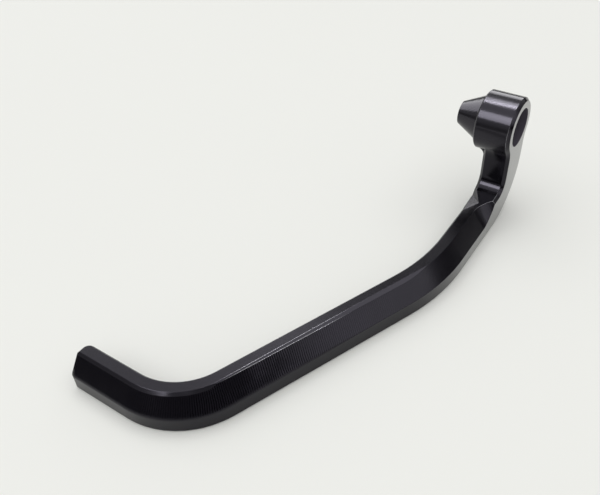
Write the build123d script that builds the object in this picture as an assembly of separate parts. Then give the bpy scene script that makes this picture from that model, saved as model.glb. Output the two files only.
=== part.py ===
from build123d import *
import math
import os

# Brake lever guard for a motorcycle bar end: one arm milled from aluminium bar, all sizes in mm.
# The bore axis is X, pointing outboard, and the eye's outer face is the plane X = 0.
# Y runs from the blade's tip back to the eye, and Z is up, square to the blade.

# Eye, with its stepped bore and the cone that seats it on the bar end
EYE_DIAMETER = 23.0
EYE_LENGTH = 14.4
RECESS_DIAMETER = 15.2
RECESS_DEPTH = 9.0
THROUGH_HOLE_DIAMETER = 8.4
CONE_BASE_DIAMETER = 18.8
CONE_END_DIAMETER = 9.2
CONE_LENGTH = 9.4

# Neck, from the eye down to the blade
AXIS_HEIGHT = 39.2
NECK_WIDTH = 16.4
NECK_SHIFT = 1.0
NECK_GAIN = 1.2
SHOULDER_RADIUS = 9.0
STEP_RADIUS = 2.2
HEEL_RADIUS = 23.0
CROOK_RADIUS = 5.0
FACE_CHAMFER = 1.2

# Blade section: a bar with a wide bevel along its upper outer edge
BLADE_WIDTH = 9.5
BLADE_HEIGHT = 13.0
WALL_HEIGHT = 6.0
BEVEL_INSET = 5.1
EDGE_BREAK = 0.5

# Blade plan, along the foot of the outer wall
FIRST_CORNER = 60.8
FIRST_TURN = 22.07
FIRST_RADIUS = 83.0
REACH = 161.1
SECOND_RADIUS = 30.6
TIP_LENGTH = 44.3
TIP_OUTER_ROUND = 0.8
TIP_INNER_ROUND = 2.4

# Narrow facets that break the bevel's upper edge, given by how far in they meet the top face.
# One is flat and widens along the straight run, and one goes round the tip and the hook.
RUN_FACET_AT_HOOK = 5.3
RUN_FACET_AT_NECK = 6.3
RUN_FACET_SLOPE = 25.0
HOOK_FACET_INSET = 5.35
HOOK_FACET_SLOPE = 46.0
HOOK_FACET_TURN = 56.0

# Where the bevel runs out into the neck, as a conical cutter leaves it
RUNOUT_START = 24.5
RUNOUT_RADIUS = 8.0
RUNOUT_HEIGHT = 14.0
TAPER_LENGTH = 13.0

# Crook, whose floor rises to the neck
FLOOR_START = 18.5
FLOOR_RISE = 0.9

# How far a cut or a joined piece runs past the face that it meets
OVERCUT = 1.0

NECK_THICKNESS = BLADE_WIDTH + NECK_GAIN
UNDERSIDE = -AXIS_HEIGHT
BLADE_TOP = UNDERSIDE + BLADE_HEIGHT
BEVEL_FOOT = UNDERSIDE + WALL_HEIGHT
BEVEL_SLOPE = BEVEL_INSET / (BLADE_HEIGHT - WALL_HEIGHT)
NECK_FRONT = NECK_SHIFT - NECK_WIDTH / 2
NECK_BACK = NECK_SHIFT + NECK_WIDTH / 2
SECOND_CORNER_X = -(REACH - FIRST_CORNER) * math.tan(math.radians(FIRST_TURN))
TIP_X = SECOND_CORNER_X - TIP_LENGTH

# Notch across the crook's inner edge, by four of its corners, with heights from the blade's top
NOTCH_APEX = (-5.6, -FLOOR_START, 0)
NOTCH_TOE = (-BLADE_WIDTH, -26.3, 0)
NOTCH_PIT = (-NECK_THICKNESS, -11.5, -2.1)
NOTCH_HEAD = (-NECK_THICKNESS, -9.2, 0.7)
NOTCH_TOP = 3.3


def side_profile(drop=0.0, extra=0.0):
    """Eye and neck seen along X, with the underside lowered or the foot lengthened on request."""
    foot = UNDERSIDE - drop
    toe = -RUNOUT_START - extra
    eye = EYE_DIAMETER / 2
    crook = (NECK_FRONT, BLADE_TOP + FLOOR_RISE)
    outline = make_face(Polyline(
        (NECK_FRONT, 0), crook, (-FLOOR_START, BLADE_TOP), (toe, BLADE_TOP),
        (toe, foot), (NECK_BACK, foot), (NECK_BACK, 0), close=True))
    outline = outline + Circle(eye)
    bends = [(crook, CROOK_RADIUS), ((NECK_BACK, foot), HEEL_RADIUS)]
    for side in (NECK_FRONT, NECK_BACK):
        bends.append(((side, -math.sqrt(eye ** 2 - side ** 2)), SHOULDER_RADIUS))
    for corner, radius in bends:
        outline = fillet(outline.vertices().sort_by_distance((*corner, 0))[0], radius)
    return outline


def inwards(sketch, depth, start=0.0):
    """Extrudes a side view towards -X, from the outer face's plane or from a start behind it."""
    plane = Plane(origin=(-start, 0, 0), x_dir=(0, 1, 0), z_dir=(1, 0, 0))
    return extrude(plane * sketch, -depth)


def turned(points):
    """Revolves a closed outline in the XY plane about the bore axis."""
    return revolve(make_face(Polyline(*points, close=True)), Axis.X)


def swept(section, path):
    """Sweeps a section, given as points inwards and up from the path, along a level path."""
    ahead = path % 0
    start = Plane(origin=path @ 0, x_dir=(-ahead.Y, ahead.X, 0), z_dir=ahead)
    return sweep(start * make_face(Polyline(*section, close=True)), path=path)


def blade():
    """The bevelled bar swept along its plan, from the tip to the start of the neck."""
    path = FilletPolyline(
        (TIP_X, -REACH, UNDERSIDE), (SECOND_CORNER_X, -REACH, UNDERSIDE),
        (0, -FIRST_CORNER, UNDERSIDE), (0, -RUNOUT_START, UNDERSIDE),
        radius=[SECOND_RADIUS, FIRST_RADIUS])
    section = [
        (EDGE_BREAK, 0), (BLADE_WIDTH - EDGE_BREAK, 0), (BLADE_WIDTH, EDGE_BREAK),
        (BLADE_WIDTH, BLADE_HEIGHT - EDGE_BREAK), (BLADE_WIDTH - EDGE_BREAK, BLADE_HEIGHT),
        (BEVEL_INSET, BLADE_HEIGHT), (0, WALL_HEIGHT), (0, EDGE_BREAK)]
    return swept(section, path) - tip_waste() - run_facet() - hook_facet()


def tip_waste():
    """What the bar's square end loses to the two rounds and the broken edges of the tip."""
    square = Pos(TIP_X, -REACH, UNDERSIDE) * Box(BLADE_WIDTH, BLADE_WIDTH, BLADE_HEIGHT, align=Align.MIN)
    outer_edge, inner_edge = square.edges().filter_by(Axis.Z).group_by(Axis.X)[0].sort_by(Axis.Y)
    kept = fillet(outer_edge, TIP_OUTER_ROUND)
    kept = fillet(kept.edges().sort_by_distance(inner_edge.center())[0], TIP_INNER_ROUND)
    for level in (UNDERSIDE, BLADE_TOP):
        rim = kept.edges().filter_by_position(Axis.Z, level, level)
        kept = chamfer(rim.sort_by(lambda edge: edge.center().X)[:-1], EDGE_BREAK)
    return square - kept


def facet_section(slope):
    """The wedge above a facet, from its line in the top face outwards and down."""
    rise = math.tan(math.radians(slope))
    return [(OVERCUT, OVERCUT * rise), (-BEVEL_INSET, OVERCUT * rise), (-BEVEL_INSET, -BEVEL_INSET * rise)]


def run_facet():
    """What the flat facet takes along the straight run, going straight on where the blade bends away."""
    turn = math.radians(FIRST_TURN)
    in_from_run = Vector(-math.cos(turn), math.sin(turn))
    hook_end = Vector(SECOND_CORNER_X, -REACH, BLADE_TOP) + in_from_run * RUN_FACET_AT_HOOK
    neck_end = Vector(0, -FIRST_CORNER, BLADE_TOP) + in_from_run * RUN_FACET_AT_NECK
    return swept(facet_section(RUN_FACET_SLOPE), Line(hook_end, neck_end))


def hook_facet():
    """What the steeper facet takes round the tip and the hook, leaving the hook along a tangent."""
    bend = SECOND_RADIUS - HOOK_FACET_INSET
    turn = math.radians(90 - FIRST_TURN)
    side = -REACH + HOOK_FACET_INSET
    bend_start = SECOND_CORNER_X - SECOND_RADIUS * math.tan(turn / 2)
    straight = Line((TIP_X - OVERCUT, side, BLADE_TOP), (bend_start, side, BLADE_TOP))
    arc = CenterArc((bend_start, side + bend, BLADE_TOP), bend, -90, HOOK_FACET_TURN)
    leaving = Line(arc @ 1, arc @ 1 + (arc % 1) * bend)
    return swept(facet_section(HOOK_FACET_SLOPE), Wire([straight, arc, leaving]))


def neck():
    """The neck with its heel and crook, chamfered round its outer and inner faces."""
    body = inwards(side_profile(), NECK_THICKNESS)
    softened = inwards(side_profile(FACE_CHAMFER - EDGE_BREAK, 2 * FACE_CHAMFER), NECK_THICKNESS)
    sides = softened.faces().sort_by(Axis.X)
    body &= chamfer(sides[0].edges() + sides[-1].edges(), FACE_CHAMFER)
    return tapered(body) - runout()


def tapered(body):
    """Thins the neck's inner side to the blade's width and breaks the edges that this leaves."""
    taper_end = -RUNOUT_START + TAPER_LENGTH
    plan = make_face(Polyline(
        (-BLADE_WIDTH, -RUNOUT_START), (-NECK_THICKNESS, taper_end),
        (-NECK_THICKNESS - OVERCUT, taper_end), (-NECK_THICKNESS - OVERCUT, -RUNOUT_START), close=True))
    body -= extrude(Plane.XY.offset(UNDERSIDE) * plan, AXIS_HEIGHT)
    gain = NECK_THICKNESS - BLADE_WIDTH
    along = Vector(-gain, TAPER_LENGTH, 0)
    until_clear = along.length * (gain + EDGE_BREAK) / gain
    until_notch = along.length * (RUNOUT_START - FLOOR_START) / TAPER_LENGTH
    toe = Plane(origin=(-BLADE_WIDTH, -RUNOUT_START, 0), x_dir=(1, 0, 0), z_dir=(0, -1, 0))
    for level, outside, length in ((UNDERSIDE, -OVERCUT, until_clear), (BLADE_TOP, OVERCUT, until_notch)):
        depth = math.copysign(EDGE_BREAK, outside)
        wedge = make_face(Polyline(
            (EDGE_BREAK + OVERCUT, level + outside), (-OVERCUT, level - depth - outside),
            (-OVERCUT, level + outside), close=True))
        body -= extrude(toe * wedge, length, dir=along)
    return body


def notch():
    """The V that two flat cuts leave across the inner edge in front of the crook."""
    apex, toe, pit, head = (
        Vector(*corner) + Vector(0, 0, BLADE_TOP) for corner in (NOTCH_APEX, NOTCH_TOE, NOTCH_PIT, NOTCH_HEAD))
    low = Vector(-NECK_THICKNESS - OVERCUT, toe.Y - OVERCUT, UNDERSIDE)
    size = Vector(0, NECK_FRONT, BLADE_TOP + NOTCH_TOP) - low
    waste = Pos(low) * Box(size.X, size.Y, size.Z, align=Align.MIN)
    for one, other in ((toe, pit), (pit, head)):
        across = (other - apex).cross(one - apex)
        waste = split(waste, Plane(origin=apex, z_dir=across), keep=Keep.TOP)
    return waste


def runout():
    """The cone that the bevel's cutter leaves where it stops at the neck."""
    top_radius = RUNOUT_RADIUS + BEVEL_SLOPE * RUNOUT_HEIGHT
    cone = Cone(RUNOUT_RADIUS, top_radius, RUNOUT_HEIGHT)
    return Pos(RUNOUT_RADIUS, -RUNOUT_START, BEVEL_FOOT + RUNOUT_HEIGHT / 2) * cone


def eye():
    """The eye behind the neck's thickness, its seating cone and the fillet where the neck leaves it."""
    radius = EYE_DIAMETER / 2
    neck_side = -NECK_THICKNESS
    barrel_start = neck_side + FACE_CHAMFER + OVERCUT
    cone_base = -EYE_LENGTH
    cone_end = cone_base - CONE_LENGTH
    barrel = turned([
        (barrel_start, 0), (barrel_start, radius), (cone_base + EDGE_BREAK, radius),
        (cone_base, radius - EDGE_BREAK), (cone_base, 0)])
    cone = turned([
        (cone_base, 0), (cone_base, CONE_BASE_DIAMETER / 2),
        (cone_end, CONE_END_DIAMETER / 2), (cone_end, 0)])
    step_end = neck_side - STEP_RADIUS
    ring = turned([
        (neck_side, radius - OVERCUT), (neck_side, radius + STEP_RADIUS),
        (step_end, radius + STEP_RADIUS), (step_end, radius - OVERCUT)])
    hollow = Pos(step_end, 0, 0) * Rot(0, 90, 0) * Torus(radius + STEP_RADIUS, STEP_RADIUS)
    step = (ring - hollow) & inwards(offset(side_profile(), -FACE_CHAMFER), STEP_RADIUS, NECK_THICKNESS)
    return barrel + cone + step


def stepped_bore():
    """The wide recess in the outer face and the narrower hole through the cone."""
    end = EYE_LENGTH + CONE_LENGTH
    wide = RECESS_DIAMETER / 2
    narrow = THROUGH_HOLE_DIAMETER / 2
    return turned([
        (0, 0), (0, wide), (-RECESS_DEPTH, wide), (-RECESS_DEPTH, narrow), (-end, narrow), (-end, 0)])


guard = blade() + neck() + eye() - notch() - stepped_bore()
os.makedirs("parts", exist_ok=True)
export_step(guard, "parts/lever_guard.step")
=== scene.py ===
"""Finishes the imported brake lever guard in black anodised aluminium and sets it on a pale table."""

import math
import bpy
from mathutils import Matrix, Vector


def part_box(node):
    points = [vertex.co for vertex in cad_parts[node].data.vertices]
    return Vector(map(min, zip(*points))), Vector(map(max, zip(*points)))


bl_info = {
    "name": "Brake lever guard",
    "version": (1, 0, 0),
    "blender": (4, 5, 0),
    "location": "View3D > Sidebar > Lever guard",
    "description": "Gives the lever guard its anodised finish and sets up its table, lamps and camera",
    "category": "Object",
}

import bmesh
import bpy
from bpy.props import FloatProperty, FloatVectorProperty, PointerProperty
from bpy.types import Operator, Panel, PropertyGroup
from mathutils import Matrix, Vector

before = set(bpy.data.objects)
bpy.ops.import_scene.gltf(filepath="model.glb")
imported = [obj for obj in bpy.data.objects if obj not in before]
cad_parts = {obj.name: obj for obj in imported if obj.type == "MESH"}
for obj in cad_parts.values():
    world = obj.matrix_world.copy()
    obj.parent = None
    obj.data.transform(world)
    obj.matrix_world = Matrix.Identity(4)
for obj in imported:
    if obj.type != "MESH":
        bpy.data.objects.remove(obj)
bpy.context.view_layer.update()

ARM = "lever_guard"
TABLE_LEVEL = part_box(ARM)[0].z

# Plan of the arm along the foot of its outer wall, in metres: three straight legs and two bends
FIRST_BEND_CENTRE = (-0.083, -0.04461)
FIRST_BEND_RADIUS = 0.083
FIRST_BEND_TURN = math.radians(22.07)
MIDDLE_LEG_START = (-0.00608, -0.0758)
MIDDLE_LEG_LENGTH = 0.07142
HOOK_CENTRE = (-0.06128, -0.13049)
HOOK_RADIUS = 0.0306
HOOK_TURN = math.radians(67.93)
BEVEL_FOOT = TABLE_LEVEL + 0.006
RUN_OUTWARDS = (math.cos(FIRST_BEND_TURN), -math.sin(FIRST_BEND_TURN), 0.0)

# In the blocks on the finish a pair is a fade: where an effect is absent, then where it is full

# Cutter's marks, by how far the bevel's normal points up and by the distance along the arm
BEVEL_PAST_WALL = (0.3, 0.45)
BEVEL_PAST_TOP = (0.75, 0.65)
MARKS_BEGIN = (0.07, 0.12)
MARKS_END = (0.165, 0.135)
MARK_PATCHES = (0.35, 0.65)
MARK_LEAST = 0.4
MARK_WANDER = 0.0006
MARK_LEAN = 0.12

# Fine lines on the other faces: their spacing, and their height as a share of the marks'
FINE_SPACING = 0.00047
FINE_SHARE = 0.6

# Soft foot of the bevel, by the distance from the foot and by Y
FOOT_NEAR = (0.0024, 0.0016)
FOOT_BEGINS = (-0.085, -0.12)

# Painted highlight on the edges, by how far the rounded normal parts from the flat one and points
# outwards, by the height, and by the distance along the arm on the run and beside the neck
HIGHLIGHT_TURN = (0.999, 0.990)
HIGHLIGHT_OUTWARDS = (0.06, 0.14)
HIGHLIGHT_HEIGHT = (TABLE_LEVEL + 0.0108, TABLE_LEVEL + 0.0116)
HIGHLIGHT_RUN_BEGINS = (0.098, 0.112)
HIGHLIGHT_RUN_ENDS = (0.150, 0.138)
HIGHLIGHT_NECK_BEGINS = (0.009, 0.012)
HIGHLIGHT_NECK_ENDS = (0.026, 0.020)
HIGHLIGHT_NECK_SHARE = 0.45

# Bored recess, by the distance from the bore's axis and by X
RECESS_WALL = (0.0078, 0.0076)
RECESS_FLOOR = (-0.0100, -0.0092)

# Painted light on the turned barrel and cone, a lighter tone, by the distance from the bore's axis, by
# X and by Y
BARREL_INSIDE = (0.0108, 0.0112)
BARREL_OUTSIDE = (0.0122, 0.0118)
CONE_BASE = (-0.0138, -0.0142)
NECK_FRONT = (-0.016, -0.013)
ACROSS_BORE = (0.0, 1.0, 1.0)

# Outer face of the neck, by how far its normal points outboard and by the distance along the arm
OUTBOARD_NORMAL = (0.8, 0.97)
OUTBOARD_ENDS = (0.08, 0.03)

# Gloss of the dyed oxide
SATIN_SPREAD = 0.06
OXIDE_TINT = (0.88, 0.84, 1.0, 1.0)
OXIDE_IOR = 1.39
COAT_ROUGHNESS = 0.22
BEVEL_SAMPLES = 8

# Scales of the noise patterns
WANDER_SCALE = 240.0
PATCH_SCALE = 90.0
GRAIN_SCALE = 2600.0
SATIN_SCALE = 130.0
TABLE_SCALE = 6.0

# Table top: how dark its darker patches are, and how matt it is
TABLE_DARKER = 0.985
TABLE_ROUGHNESS = 0.9

# Dim room round the table, and dark card behind the camera, by the top of each corner
SURROUND_SIDES = 48
SURROUND_RADIUS = 0.9
SURROUND_HEIGHT = 0.16
CARD_CORNERS = ((0.475, -0.14, 0.29), (-0.10, -0.60, 0.15), (-0.50, -0.42, 0.11))
CARD_COLOUR = (0.03, 0.03, 0.034, 1.0)
WHITE = (1.0, 1.0, 1.0, 1.0)

# What the lamps point at
EYE = Vector((0.0, 0.0, 0.0))
RUN = Vector((-0.024, -0.12, -0.026))
HOOK = Vector((-0.06, -0.14, -0.026))

# Glints, which only reflections show: target, azimuth and elevation in degrees, distance,
# width and length, and watts
GLINTS = {
    "lamp_overhead": (EYE, -35.0, 70.0, 0.80, (0.34, 0.30), 2.9),
    "lamp_bulb": (EYE, -59.0, 72.0, 0.70, (0.14, 0.035), 0.44),
    "lamp_front": (EYE, -168.0, 42.0, 2.50, (1.40, 1.10), 40.7),
    "lamp_backdrop": (EYE, -50.0, 26.0, 0.80, (1.5, 0.32), 6.0),
    "lamp_side": (RUN, 76.0, 17.0, 0.70, (0.38, 0.22), 0.25),
    "lamp_right": (RUN, 50.0, 60.0, 0.80, (0.34, 0.34), 0.45),
    "lamp_spark": (RUN, 84.0, 46.0, 0.60, (0.05, 0.05), 0.3),
}

# Camera's sensor in millimetres, and how near and far it sees in metres
SENSOR_WIDTH = 36.0
CLIP_START = 0.01
CLIP_END = 100.0

# Places of the nodes in the editor, and a Mix node's sockets when it mixes colours
NODE_STEP = 180
NODE_DROP = 40
NODE_ROWS = 5
MIX_FACTOR, MIX_FIRST, MIX_SECOND, MIX_RESULT = 0, 6, 7, 2


class GuardFinish(PropertyGroup):
    """Colours and sizes of the anodised finish."""

    anodise_colour: FloatVectorProperty(
        name="Anodise colour", description="Dyed oxide, seen straight on",
        subtype="COLOR", size=3, min=0.0, max=1.0, default=(0.0010, 0.0009, 0.0014))
    mark_colour: FloatVectorProperty(
        name="Mark colour", description="Crests of the cutter's marks, where the dye is thinner",
        subtype="COLOR", size=3, min=0.0, max=1.0, default=(0.018, 0.016, 0.022))
    # Painted highlight: a bright colour laid on the edges of the facet and the run-out where lamps
    # would glint
    edge_highlight_colour: FloatVectorProperty(
        name="Edge highlight colour", description="Edges painted bright as a highlight",
        subtype="COLOR", size=3, min=0.0, max=1.0, default=(0.42, 0.42, 0.44))
    # Painted light: a lighter tone on the barrel and the cone that stands in for the light they catch
    turned_light_colour: FloatVectorProperty(
        name="Turned light colour", description="Barrel and cone, painted lighter for the light they catch",
        subtype="COLOR", size=3, min=0.0, max=1.0, default=(0.0125, 0.0118, 0.0140))
    bored_colour: FloatVectorProperty(
        name="Bored colour", description="Wall of the recess, where the dye is thinner",
        subtype="COLOR", size=3, min=0.0, max=1.0, default=(0.085, 0.078, 0.096))
    roughness: FloatProperty(
        name="Roughness", description="Roughness of the satin surface",
        subtype="FACTOR", min=0.0, max=1.0, default=0.17)
    mark_spacing: FloatProperty(
        name="Mark spacing", description="Distance between the cutter's marks along the arm",
        unit="LENGTH", subtype="DISTANCE", min=0.0002, max=0.005, default=0.00078)
    mark_depth: FloatProperty(
        name="Mark depth", description="Height of the cutter's marks",
        unit="LENGTH", subtype="DISTANCE", min=0.0, max=0.0002, precision=6, default=0.000014)
    edge_radius: FloatProperty(
        name="Edge radius", description="Rounding that tumbling leaves on every edge",
        unit="LENGTH", subtype="DISTANCE", min=0.0, max=0.001, precision=5, default=0.00025)
    foot_radius: FloatProperty(
        name="Foot radius", description="Rounding along the foot of the bevel, towards the hook",
        unit="LENGTH", subtype="DISTANCE", min=0.0, max=0.004, precision=5, default=0.0016)


class GuardStage(PropertyGroup):
    """Table, room light and camera."""

    table_colour: FloatVectorProperty(
        name="Table colour", description="Plain pale table top",
        subtype="COLOR", size=3, min=0.0, max=1.0, default=(0.85, 0.855, 0.82))
    table_size: FloatProperty(
        name="Table size", description="Side of the square table top",
        unit="LENGTH", subtype="DISTANCE", min=0.5, max=100.0, default=30.0)
    room_level: FloatProperty(
        name="Room level", description="Even light from all round",
        subtype="FACTOR", min=0.0, max=1.0, default=0.48)
    camera_azimuth: FloatProperty(
        name="Camera azimuth", description="Turn of the view from straight along the arm",
        unit="ROTATION", subtype="ANGLE", default=math.radians(36.0))
    camera_elevation: FloatProperty(
        name="Camera elevation", description="How far the camera looks down",
        unit="ROTATION", subtype="ANGLE", default=math.radians(41.108))
    camera_roll: FloatProperty(
        name="Camera roll", description="Tilt of the camera about its own axis",
        unit="ROTATION", subtype="ANGLE", default=math.radians(-3.416))
    camera_place: FloatVectorProperty(
        name="Camera place", description="Where the camera stands",
        unit="LENGTH", subtype="TRANSLATION", size=3, default=(0.059972, -0.230217, 0.1392))
    camera_lens: FloatProperty(
        name="Camera lens", description="Focal length on a 36 mm sensor, in millimetres",
        min=10.0, max=200.0, default=40.554)


class NodeDesk:
    """Places nodes in one tree, left to right, and links them."""

    def __init__(self, tree):
        self.tree = tree
        self.column = 0

    def add(self, kind, **settings):
        node = self.tree.nodes.new(kind)
        node.location = (NODE_STEP * self.column, -NODE_DROP * (self.column % NODE_ROWS))
        self.column += 1
        for name, value in settings.items():
            setattr(node, name, value)
        return node

    def feed(self, value, socket):
        """Links a socket to another, or sets it where a plain value is given."""
        if isinstance(value, bpy.types.NodeSocket):
            self.tree.links.new(value, socket)
        else:
            socket.default_value = value

    def axes(self, vector):
        node = self.add("ShaderNodeSeparateXYZ")
        self.feed(vector, node.inputs[0])
        return [node.outputs[axis] for axis in "XYZ"]

    def maths(self, operation, first, second=0.0, third=0.0):
        node = self.add("ShaderNodeMath", operation=operation)
        for value, socket in zip((first, second, third), node.inputs):
            self.feed(value, socket)
        return node.outputs[0]

    def vectors(self, operation, output, *values):
        node = self.add("ShaderNodeVectorMath", operation=operation)
        for value, socket in zip(values, node.inputs):
            self.feed(value, socket)
        return node.outputs[output]

    def both(self, first, second):
        """Mask that is full only where both masks are."""
        return self.maths("MULTIPLY", first, second)

    def wave(self, angle):
        """Sine that runs from 0 to 1."""
        return self.maths("MULTIPLY_ADD", self.maths("SINE", angle), 0.5, 0.5)

    def within(self, value, low, high):
        node = self.add("ShaderNodeClamp")
        self.feed(value, node.inputs["Value"])
        self.feed(low, node.inputs["Min"])
        self.feed(high, node.inputs["Max"])
        return node.outputs[0]

    def fade(self, value, ends):
        """Eases from 0 to 1 as the value goes from the first end to the second."""
        node = self.add("ShaderNodeMapRange", interpolation_type="SMOOTHSTEP")
        for given, socket in zip((value, *ends), node.inputs):
            self.feed(given, socket)
        return node.outputs[0]

    def noise(self, vector, scale, detail=2.0):
        node = self.add("ShaderNodeTexNoise")
        self.feed(vector, node.inputs["Vector"])
        self.feed(scale, node.inputs["Scale"])
        self.feed(detail, node.inputs["Detail"])
        return node.outputs["Fac"]

    def rounding(self, radius):
        """Normal that rounds every edge by the radius."""
        node = self.add("ShaderNodeBevel", samples=BEVEL_SAMPLES)
        self.feed(radius, node.inputs["Radius"])
        return node.outputs[0]

    def colours(self, amount, first, second):
        node = self.add("ShaderNodeMix", data_type="RGBA")
        self.feed(amount, node.inputs[MIX_FACTOR])
        for colour, socket in ((first, MIX_FIRST), (second, MIX_SECOND)):
            linked = isinstance(colour, bpy.types.NodeSocket)
            self.feed(colour if linked else (*colour, 1.0), node.inputs[socket])
        return node.outputs[MIX_RESULT]

    def show(self, shader):
        """Sends the shader to the material's output."""
        out = self.add("ShaderNodeOutputMaterial")
        self.feed(shader.outputs[0], out.inputs["Surface"])


def arm_path_group():
    """Gives how far along the arm a point lies, following its legs and bends."""
    group = bpy.data.node_groups.new("arm_path", "ShaderNodeTree")
    group.interface.new_socket("Position", in_out="INPUT", socket_type="NodeSocketVector")
    group.interface.new_socket("Along", in_out="OUTPUT", socket_type="NodeSocketFloat")
    desk = NodeDesk(group)
    start = desk.add("NodeGroupInput")
    x, y, _ = desk.axes(start.outputs["Position"])

    def turn_about(centre):
        across = desk.maths("SUBTRACT", x, centre[0])
        down = desk.maths("SUBTRACT", centre[1], y)
        return desk.maths("ARCTAN2", down, across)

    first_leg = desk.maths("MINIMUM", desk.maths("MULTIPLY", y, -1.0), -FIRST_BEND_CENTRE[1])
    first_bend = desk.within(turn_about(FIRST_BEND_CENTRE), 0.0, FIRST_BEND_TURN)
    heading = (-math.sin(FIRST_BEND_TURN), -math.cos(FIRST_BEND_TURN))
    sideways = desk.maths("MULTIPLY", desk.maths("SUBTRACT", x, MIDDLE_LEG_START[0]), heading[0])
    forwards = desk.maths("MULTIPLY", desk.maths("SUBTRACT", y, MIDDLE_LEG_START[1]), heading[1])
    middle_leg = desk.within(desk.maths("ADD", sideways, forwards), 0.0, MIDDLE_LEG_LENGTH)
    hook_angle = desk.maths("SUBTRACT", turn_about(HOOK_CENTRE), FIRST_BEND_TURN)
    hook = desk.within(hook_angle, 0.0, HOOK_TURN)
    tip_leg = desk.maths("MAXIMUM", desk.maths("SUBTRACT", HOOK_CENTRE[0], x), 0.0)
    along = desk.maths("ADD", first_leg, desk.maths("MULTIPLY", first_bend, FIRST_BEND_RADIUS))
    along = desk.maths("ADD", along, middle_leg)
    along = desk.maths("ADD", along, desk.maths("MULTIPLY", hook, HOOK_RADIUS))
    along = desk.maths("ADD", along, tip_leg)
    end = desk.add("NodeGroupOutput")
    desk.feed(along, end.inputs["Along"])
    return group


def blank_material(name):
    """Material with an empty node tree, and the desk that fills it."""
    material = bpy.data.materials.new(name)
    material.use_nodes = True
    material.node_tree.nodes.clear()
    return material, NodeDesk(material.node_tree)


def cutter_marks(desk, spacing, position, along, lean, bevel):
    """Crests on the bevel, one per pass of the cutter, a little uneven."""
    wander = desk.maths("MULTIPLY", desk.noise(position, WANDER_SCALE), MARK_WANDER)
    travel = desk.maths("ADD", desk.maths("ADD", along, wander), lean)
    crest = desk.wave(desk.maths("MULTIPLY", desk.maths("DIVIDE", travel, spacing), math.tau))
    patchy = desk.fade(desk.noise(position, PATCH_SCALE), MARK_PATCHES)
    patchy = desk.both(patchy, desk.fade(along, MARKS_END))
    patchy = desk.both(patchy, desk.fade(along, MARKS_BEGIN))
    strength = desk.maths("MULTIPLY_ADD", patchy, 1.0 - MARK_LEAST, MARK_LEAST)
    return desk.both(desk.both(crest, strength), bevel)


def fine_lines(desk, position, along, lean, bevel):
    """Faint lines on the top face and on the walls."""
    travel = desk.maths("SUBTRACT", along, lean)
    fine = desk.wave(desk.maths("MULTIPLY", travel, math.tau / FINE_SPACING))
    grain = desk.noise(position, GRAIN_SCALE, detail=1.0)
    return desk.both(desk.both(fine, grain), desk.maths("SUBTRACT", 1.0, bevel))


def painted_edge_highlights(desk, rounded, normal, along, z):
    """Painted highlight on the edges of the facet and the run-out, where the rounded normal parts from
    the flat one.
    """
    turn = desk.vectors("DOT_PRODUCT", "Value", rounded, normal)
    outwards = desk.vectors("DOT_PRODUCT", "Value", rounded, RUN_OUTWARDS)
    edges = desk.both(desk.fade(turn, HIGHLIGHT_TURN), desk.fade(outwards, HIGHLIGHT_OUTWARDS))
    edges = desk.both(edges, desk.fade(z, HIGHLIGHT_HEIGHT))
    on_run = desk.both(desk.fade(along, HIGHLIGHT_RUN_BEGINS), desk.fade(along, HIGHLIGHT_RUN_ENDS))
    by_neck = desk.both(desk.fade(along, HIGHLIGHT_NECK_BEGINS), desk.fade(along, HIGHLIGHT_NECK_ENDS))
    return desk.both(edges, desk.maths("MULTIPLY_ADD", by_neck, HIGHLIGHT_NECK_SHARE, on_run))


def bored_and_turned_light(desk, position, x, y):
    """The recess, which is bored, and the barrel and the cone, which are turned and get a painted
    lighter tone for the light they catch.
    """
    across = desk.vectors("MULTIPLY", "Vector", position, ACROSS_BORE)
    off_axis = desk.vectors("LENGTH", "Value", across)
    bored = desk.both(desk.fade(off_axis, RECESS_WALL), desk.fade(x, RECESS_FLOOR))
    barrel = desk.both(desk.fade(off_axis, BARREL_INSIDE), desk.fade(off_axis, BARREL_OUTSIDE))
    turned_light = desk.maths("MAXIMUM", barrel, desk.fade(x, CONE_BASE))
    return bored, desk.both(turned_light, desk.fade(y, NECK_FRONT))


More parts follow.
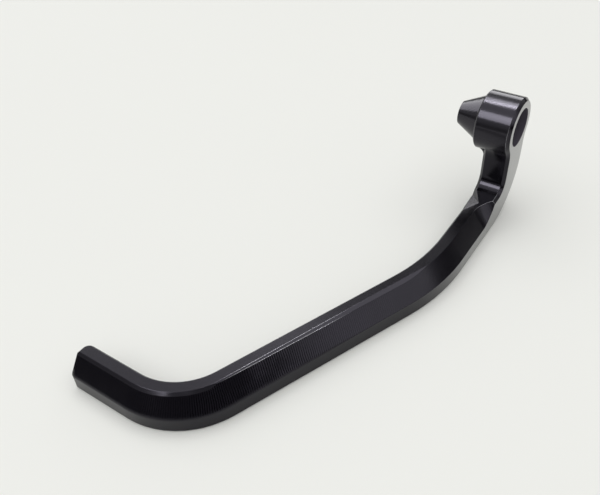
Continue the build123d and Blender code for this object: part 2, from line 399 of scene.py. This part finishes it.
def anodised_material(look):
    """Satin black anodise over milled aluminium, with the cutter's marks square to the arm."""
    material, desk = blank_material("black_anodised_finish")
    place = desk.add("ShaderNodeTexCoord")
    position, normal = place.outputs["Object"], place.outputs["Normal"]
    path = desk.add("ShaderNodeGroup", node_tree=arm_path_group())
    desk.feed(position, path.inputs["Position"])
    along = path.outputs["Along"]
    sideways, _, upwards = desk.axes(normal)
    x, y, z = desk.axes(position)

    # The bevel has the cutter's marks, and the other faces have fine lines
    bevel = desk.both(desk.fade(upwards, BEVEL_PAST_WALL), desk.fade(upwards, BEVEL_PAST_TOP))
    lean = desk.maths("MULTIPLY", z, MARK_LEAN)
    marks = cutter_marks(desk, look.mark_spacing, position, along, lean, bevel)
    lines = fine_lines(desk, position, along, lean, bevel)

    # Every edge has a fine rounding, and the foot of the bevel a soft one towards the hook
    from_foot = desk.maths("ABSOLUTE", desk.maths("SUBTRACT", z, BEVEL_FOOT))
    soft_foot = desk.both(desk.fade(from_foot, FOOT_NEAR), desk.fade(y, FOOT_BEGINS))
    softening = look.foot_radius - look.edge_radius
    radius = desk.maths("MULTIPLY_ADD", soft_foot, softening, look.edge_radius)
    relief = desk.maths("ADD", marks, desk.maths("MULTIPLY", lines, FINE_SHARE))
    bump = desk.add("ShaderNodeBump")
    desk.feed(1.0, bump.inputs["Strength"])
    desk.feed(look.mark_depth, bump.inputs["Distance"])
    desk.feed(relief, bump.inputs["Height"])
    desk.feed(desk.rounding(radius), bump.inputs["Normal"])
    rounded = desk.rounding(look.edge_radius)

    # The bored recess takes less dye. The barrel and the cone get a painted lighter tone that stands
    # in for the light they catch, and the edges of the facet and the run-out get a painted highlight
    bored, turned_light = bored_and_turned_light(desk, position, x, y)
    edge_highlight = painted_edge_highlights(desk, rounded, normal, along, z)
    colour = desk.colours(marks, look.anodise_colour, look.mark_colour)
    # Painted light on the barrel and the cone
    colour = desk.colours(turned_light, colour, look.turned_light_colour)
    colour = desk.colours(bored, colour, look.bored_colour)
    # Painted highlight on the edges of the facet and the run-out
    colour = desk.colours(edge_highlight, colour, look.edge_highlight_colour)
    satin = desk.noise(position, SATIN_SCALE)
    rough = desk.maths("MULTIPLY_ADD", satin, SATIN_SPREAD, look.roughness - SATIN_SPREAD / 2)

    # The neck's outer face is milled finer, and shines at a glancing angle
    outboard = desk.both(desk.fade(sideways, OUTBOARD_NORMAL), desk.fade(along, OUTBOARD_ENDS))

    metal = desk.add("ShaderNodeBsdfPrincipled")
    desk.feed(colour, metal.inputs["Base Color"])
    desk.feed(rough, metal.inputs["Roughness"])
    desk.feed(0.0, metal.inputs["Metallic"])
    desk.feed(OXIDE_TINT, metal.inputs["Specular Tint"])
    desk.feed(OXIDE_IOR, metal.inputs["IOR"])
    desk.feed(outboard, metal.inputs["Coat Weight"])
    desk.feed(COAT_ROUGHNESS, metal.inputs["Coat Roughness"])
    desk.feed(bump.outputs[0], metal.inputs["Normal"])
    desk.feed(rounded, metal.inputs["Coat Normal"])
    desk.show(metal)
    return material


def table_material(colour):
    """Plain pale table top with a faint unevenness."""
    material, desk = blank_material("pale_table")
    place = desk.add("ShaderNodeTexCoord")
    cloud = desk.noise(place.outputs["Object"], TABLE_SCALE)
    darker = tuple(TABLE_DARKER * channel for channel in colour)
    top = desk.add("ShaderNodeBsdfPrincipled")
    desk.feed(desk.colours(cloud, darker, colour), top.inputs["Base Color"])
    desk.feed(TABLE_ROUGHNESS, top.inputs["Roughness"])
    desk.feed(0.0, top.inputs["Specular IOR Level"])
    desk.show(top)
    return material


def card_material():
    """Dark matt card."""
    material = bpy.data.materials.new("dark_card")
    material.use_nodes = True
    card = material.node_tree.nodes["Principled BSDF"]
    card.inputs["Base Color"].default_value = CARD_COLOUR
    card.inputs["Roughness"].default_value = 1.0
    card.inputs["Specular IOR Level"].default_value = 0.0
    return material


def aimed_at(place, target):
    """Turn that points an object's -Z from its place to the target."""
    return (Vector(target) - Vector(place)).to_track_quat("-Z", "Y").to_matrix().to_4x4()


def from_direction(azimuth, elevation, distance):
    """Point seen from the origin at a compass azimuth from +Y towards +X, in degrees."""
    a, e = math.radians(azimuth), math.radians(elevation)
    return Vector((math.sin(a) * math.cos(e), math.cos(a) * math.cos(e), math.sin(e))) * distance


def soft_lamp(name, place, target, size, power, glint=False):
    """Rectangular soft box, or a glint that only reflections show."""
    data = bpy.data.lights.new(name, "AREA")
    data.shape = "RECTANGLE"
    data.size, data.size_y = size
    data.energy = power
    lamp = bpy.data.objects.new(name, data)
    lamp.visible_diffuse = not glint
    lamp.matrix_world = Matrix.Translation(Vector(place)) @ aimed_at(place, target)
    bpy.context.scene.collection.objects.link(lamp)


class GUARD_OT_finish_arm(Operator):
    """Give the arm its anodised finish"""

    bl_idname = "guard.finish_arm"
    bl_label = "Finish the arm"

    def execute(self, context):
        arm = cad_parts[ARM]
        if not arm.material_slots:
            raise RuntimeError("the arm has no material slot")
        finish = anodised_material(context.scene.guard_finish)
        for slot in arm.material_slots:
            slot.material = finish
        return {"FINISHED"}


class GUARD_OT_set_stage(Operator):
    """Set the table, the lamps and the camera"""

    bl_idname = "guard.set_stage"
    bl_label = "Set the stage"

    def execute(self, context):
        stage = context.scene.guard_stage
        self.table(stage)
        self.surround()
        self.room(context.scene, stage)
        self.lamps()
        self.camera(context.scene, stage)
        context.scene.view_settings.view_transform = "Standard"
        return {"FINISHED"}

    def table(self, stage):
        mesh = bpy.data.meshes.new("table_top")
        bm = bmesh.new()
        bmesh.ops.create_grid(bm, x_segments=1, y_segments=1, size=stage.table_size / 2)
        bmesh.ops.translate(bm, verts=bm.verts[:], vec=(0.0, 0.0, TABLE_LEVEL))
        bm.to_mesh(mesh)
        bm.free()
        mesh.materials.append(table_material(stage.table_colour))
        top = bpy.data.objects.new("table_top", mesh)
        bpy.context.scene.collection.objects.link(top)

    def surround(self):
        """Dim room round the table and dark card behind the camera, which only reflections show."""
        mesh = bpy.data.meshes.new("dark_surround")
        bm = bmesh.new()
        bmesh.ops.create_circle(bm, segments=SURROUND_SIDES, radius=SURROUND_RADIUS)
        grown = bmesh.ops.extrude_edge_only(bm, edges=bm.edges[:])["geom"]
        raised = [part for part in grown if isinstance(part, bmesh.types.BMVert)]
        bmesh.ops.translate(bm, verts=raised, vec=(0.0, 0.0, SURROUND_HEIGHT))
        feet = [bm.verts.new((x, y, 0.0)) for x, y, _ in CARD_CORNERS]
        tops = [bm.verts.new(corner) for corner in CARD_CORNERS]
        for left in range(len(CARD_CORNERS) - 1):
            bm.faces.new((feet[left], feet[left + 1], tops[left + 1], tops[left]))
        bmesh.ops.translate(bm, verts=bm.verts[:], vec=(0.0, 0.0, TABLE_LEVEL))
        bm.to_mesh(mesh)
        bm.free()
        mesh.materials.append(card_material())
        surround = bpy.data.objects.new("dark_surround", mesh)
        surround.visible_camera = False
        surround.visible_diffuse = False
        surround.visible_shadow = False
        bpy.context.scene.collection.objects.link(surround)

    def room(self, scene, stage):
        world = bpy.data.worlds.new("studio_room")
        world.use_nodes = True
        light = world.node_tree.nodes["Background"]
        light.inputs["Color"].default_value = WHITE
        light.inputs["Strength"].default_value = stage.room_level
        scene.world = world

    def lamps(self):
        soft_lamp("lamp_ceiling", place=(-0.8, -0.6, 2.96), target=(-0.8, -0.6, 0.0),
                  size=(6.4, 6.0), power=117.0)
        for name, (target, azimuth, elevation, distance, size, power) in GLINTS.items():
            place = target + from_direction(azimuth, elevation, distance)
            soft_lamp(name, place, target, size, power, glint=True)
        soft_lamp("lamp_left", place=(-0.24, 0.105, 0.24), target=HOOK,
                  size=(0.12, 0.12), power=0.045, glint=True)

    def camera(self, scene, stage):
        data = bpy.data.cameras.new("photo_camera")
        data.sensor_fit = "HORIZONTAL"
        data.sensor_width = SENSOR_WIDTH
        data.lens = stage.camera_lens
        data.clip_start = CLIP_START
        data.clip_end = CLIP_END
        camera = bpy.data.objects.new("photo_camera", data)
        camera.matrix_world = (
            Matrix.Translation(Vector(stage.camera_place))
            @ Matrix.Rotation(stage.camera_azimuth, 4, "Z")
            @ Matrix.Rotation(math.radians(90.0) - stage.camera_elevation, 4, "X")
            @ Matrix.Rotation(stage.camera_roll, 4, "Z"))
        scene.collection.objects.link(camera)
        scene.camera = camera


class GUARD_PT_sidebar(Panel):
    """Settings and steps of the lever guard"""

    bl_idname = "GUARD_PT_sidebar"
    bl_label = "Lever guard"
    bl_space_type = "VIEW_3D"
    bl_region_type = "UI"
    bl_category = "Lever guard"

    def draw(self, context):
        layout = self.layout
        for settings, operator in (
                (context.scene.guard_finish, GUARD_OT_finish_arm),
                (context.scene.guard_stage, GUARD_OT_set_stage)):
            column = layout.column(align=True)
            for name in settings.__annotations__:
                column.prop(settings, name)
            column.operator(operator.bl_idname)


CLASSES = (GuardFinish, GuardStage, GUARD_OT_finish_arm, GUARD_OT_set_stage, GUARD_PT_sidebar)


def register():
    for cls in CLASSES:
        bpy.utils.register_class(cls)
    bpy.types.Scene.guard_finish = PointerProperty(type=GuardFinish)
    bpy.types.Scene.guard_stage = PointerProperty(type=GuardStage)


def unregister():
    del bpy.types.Scene.guard_stage
    del bpy.types.Scene.guard_finish
    for cls in reversed(CLASSES):
        bpy.utils.unregister_class(cls)


def main():
    register()
    bpy.ops.guard.finish_arm()
    bpy.ops.guard.set_stage()


if __name__ == "__main__":
    main()
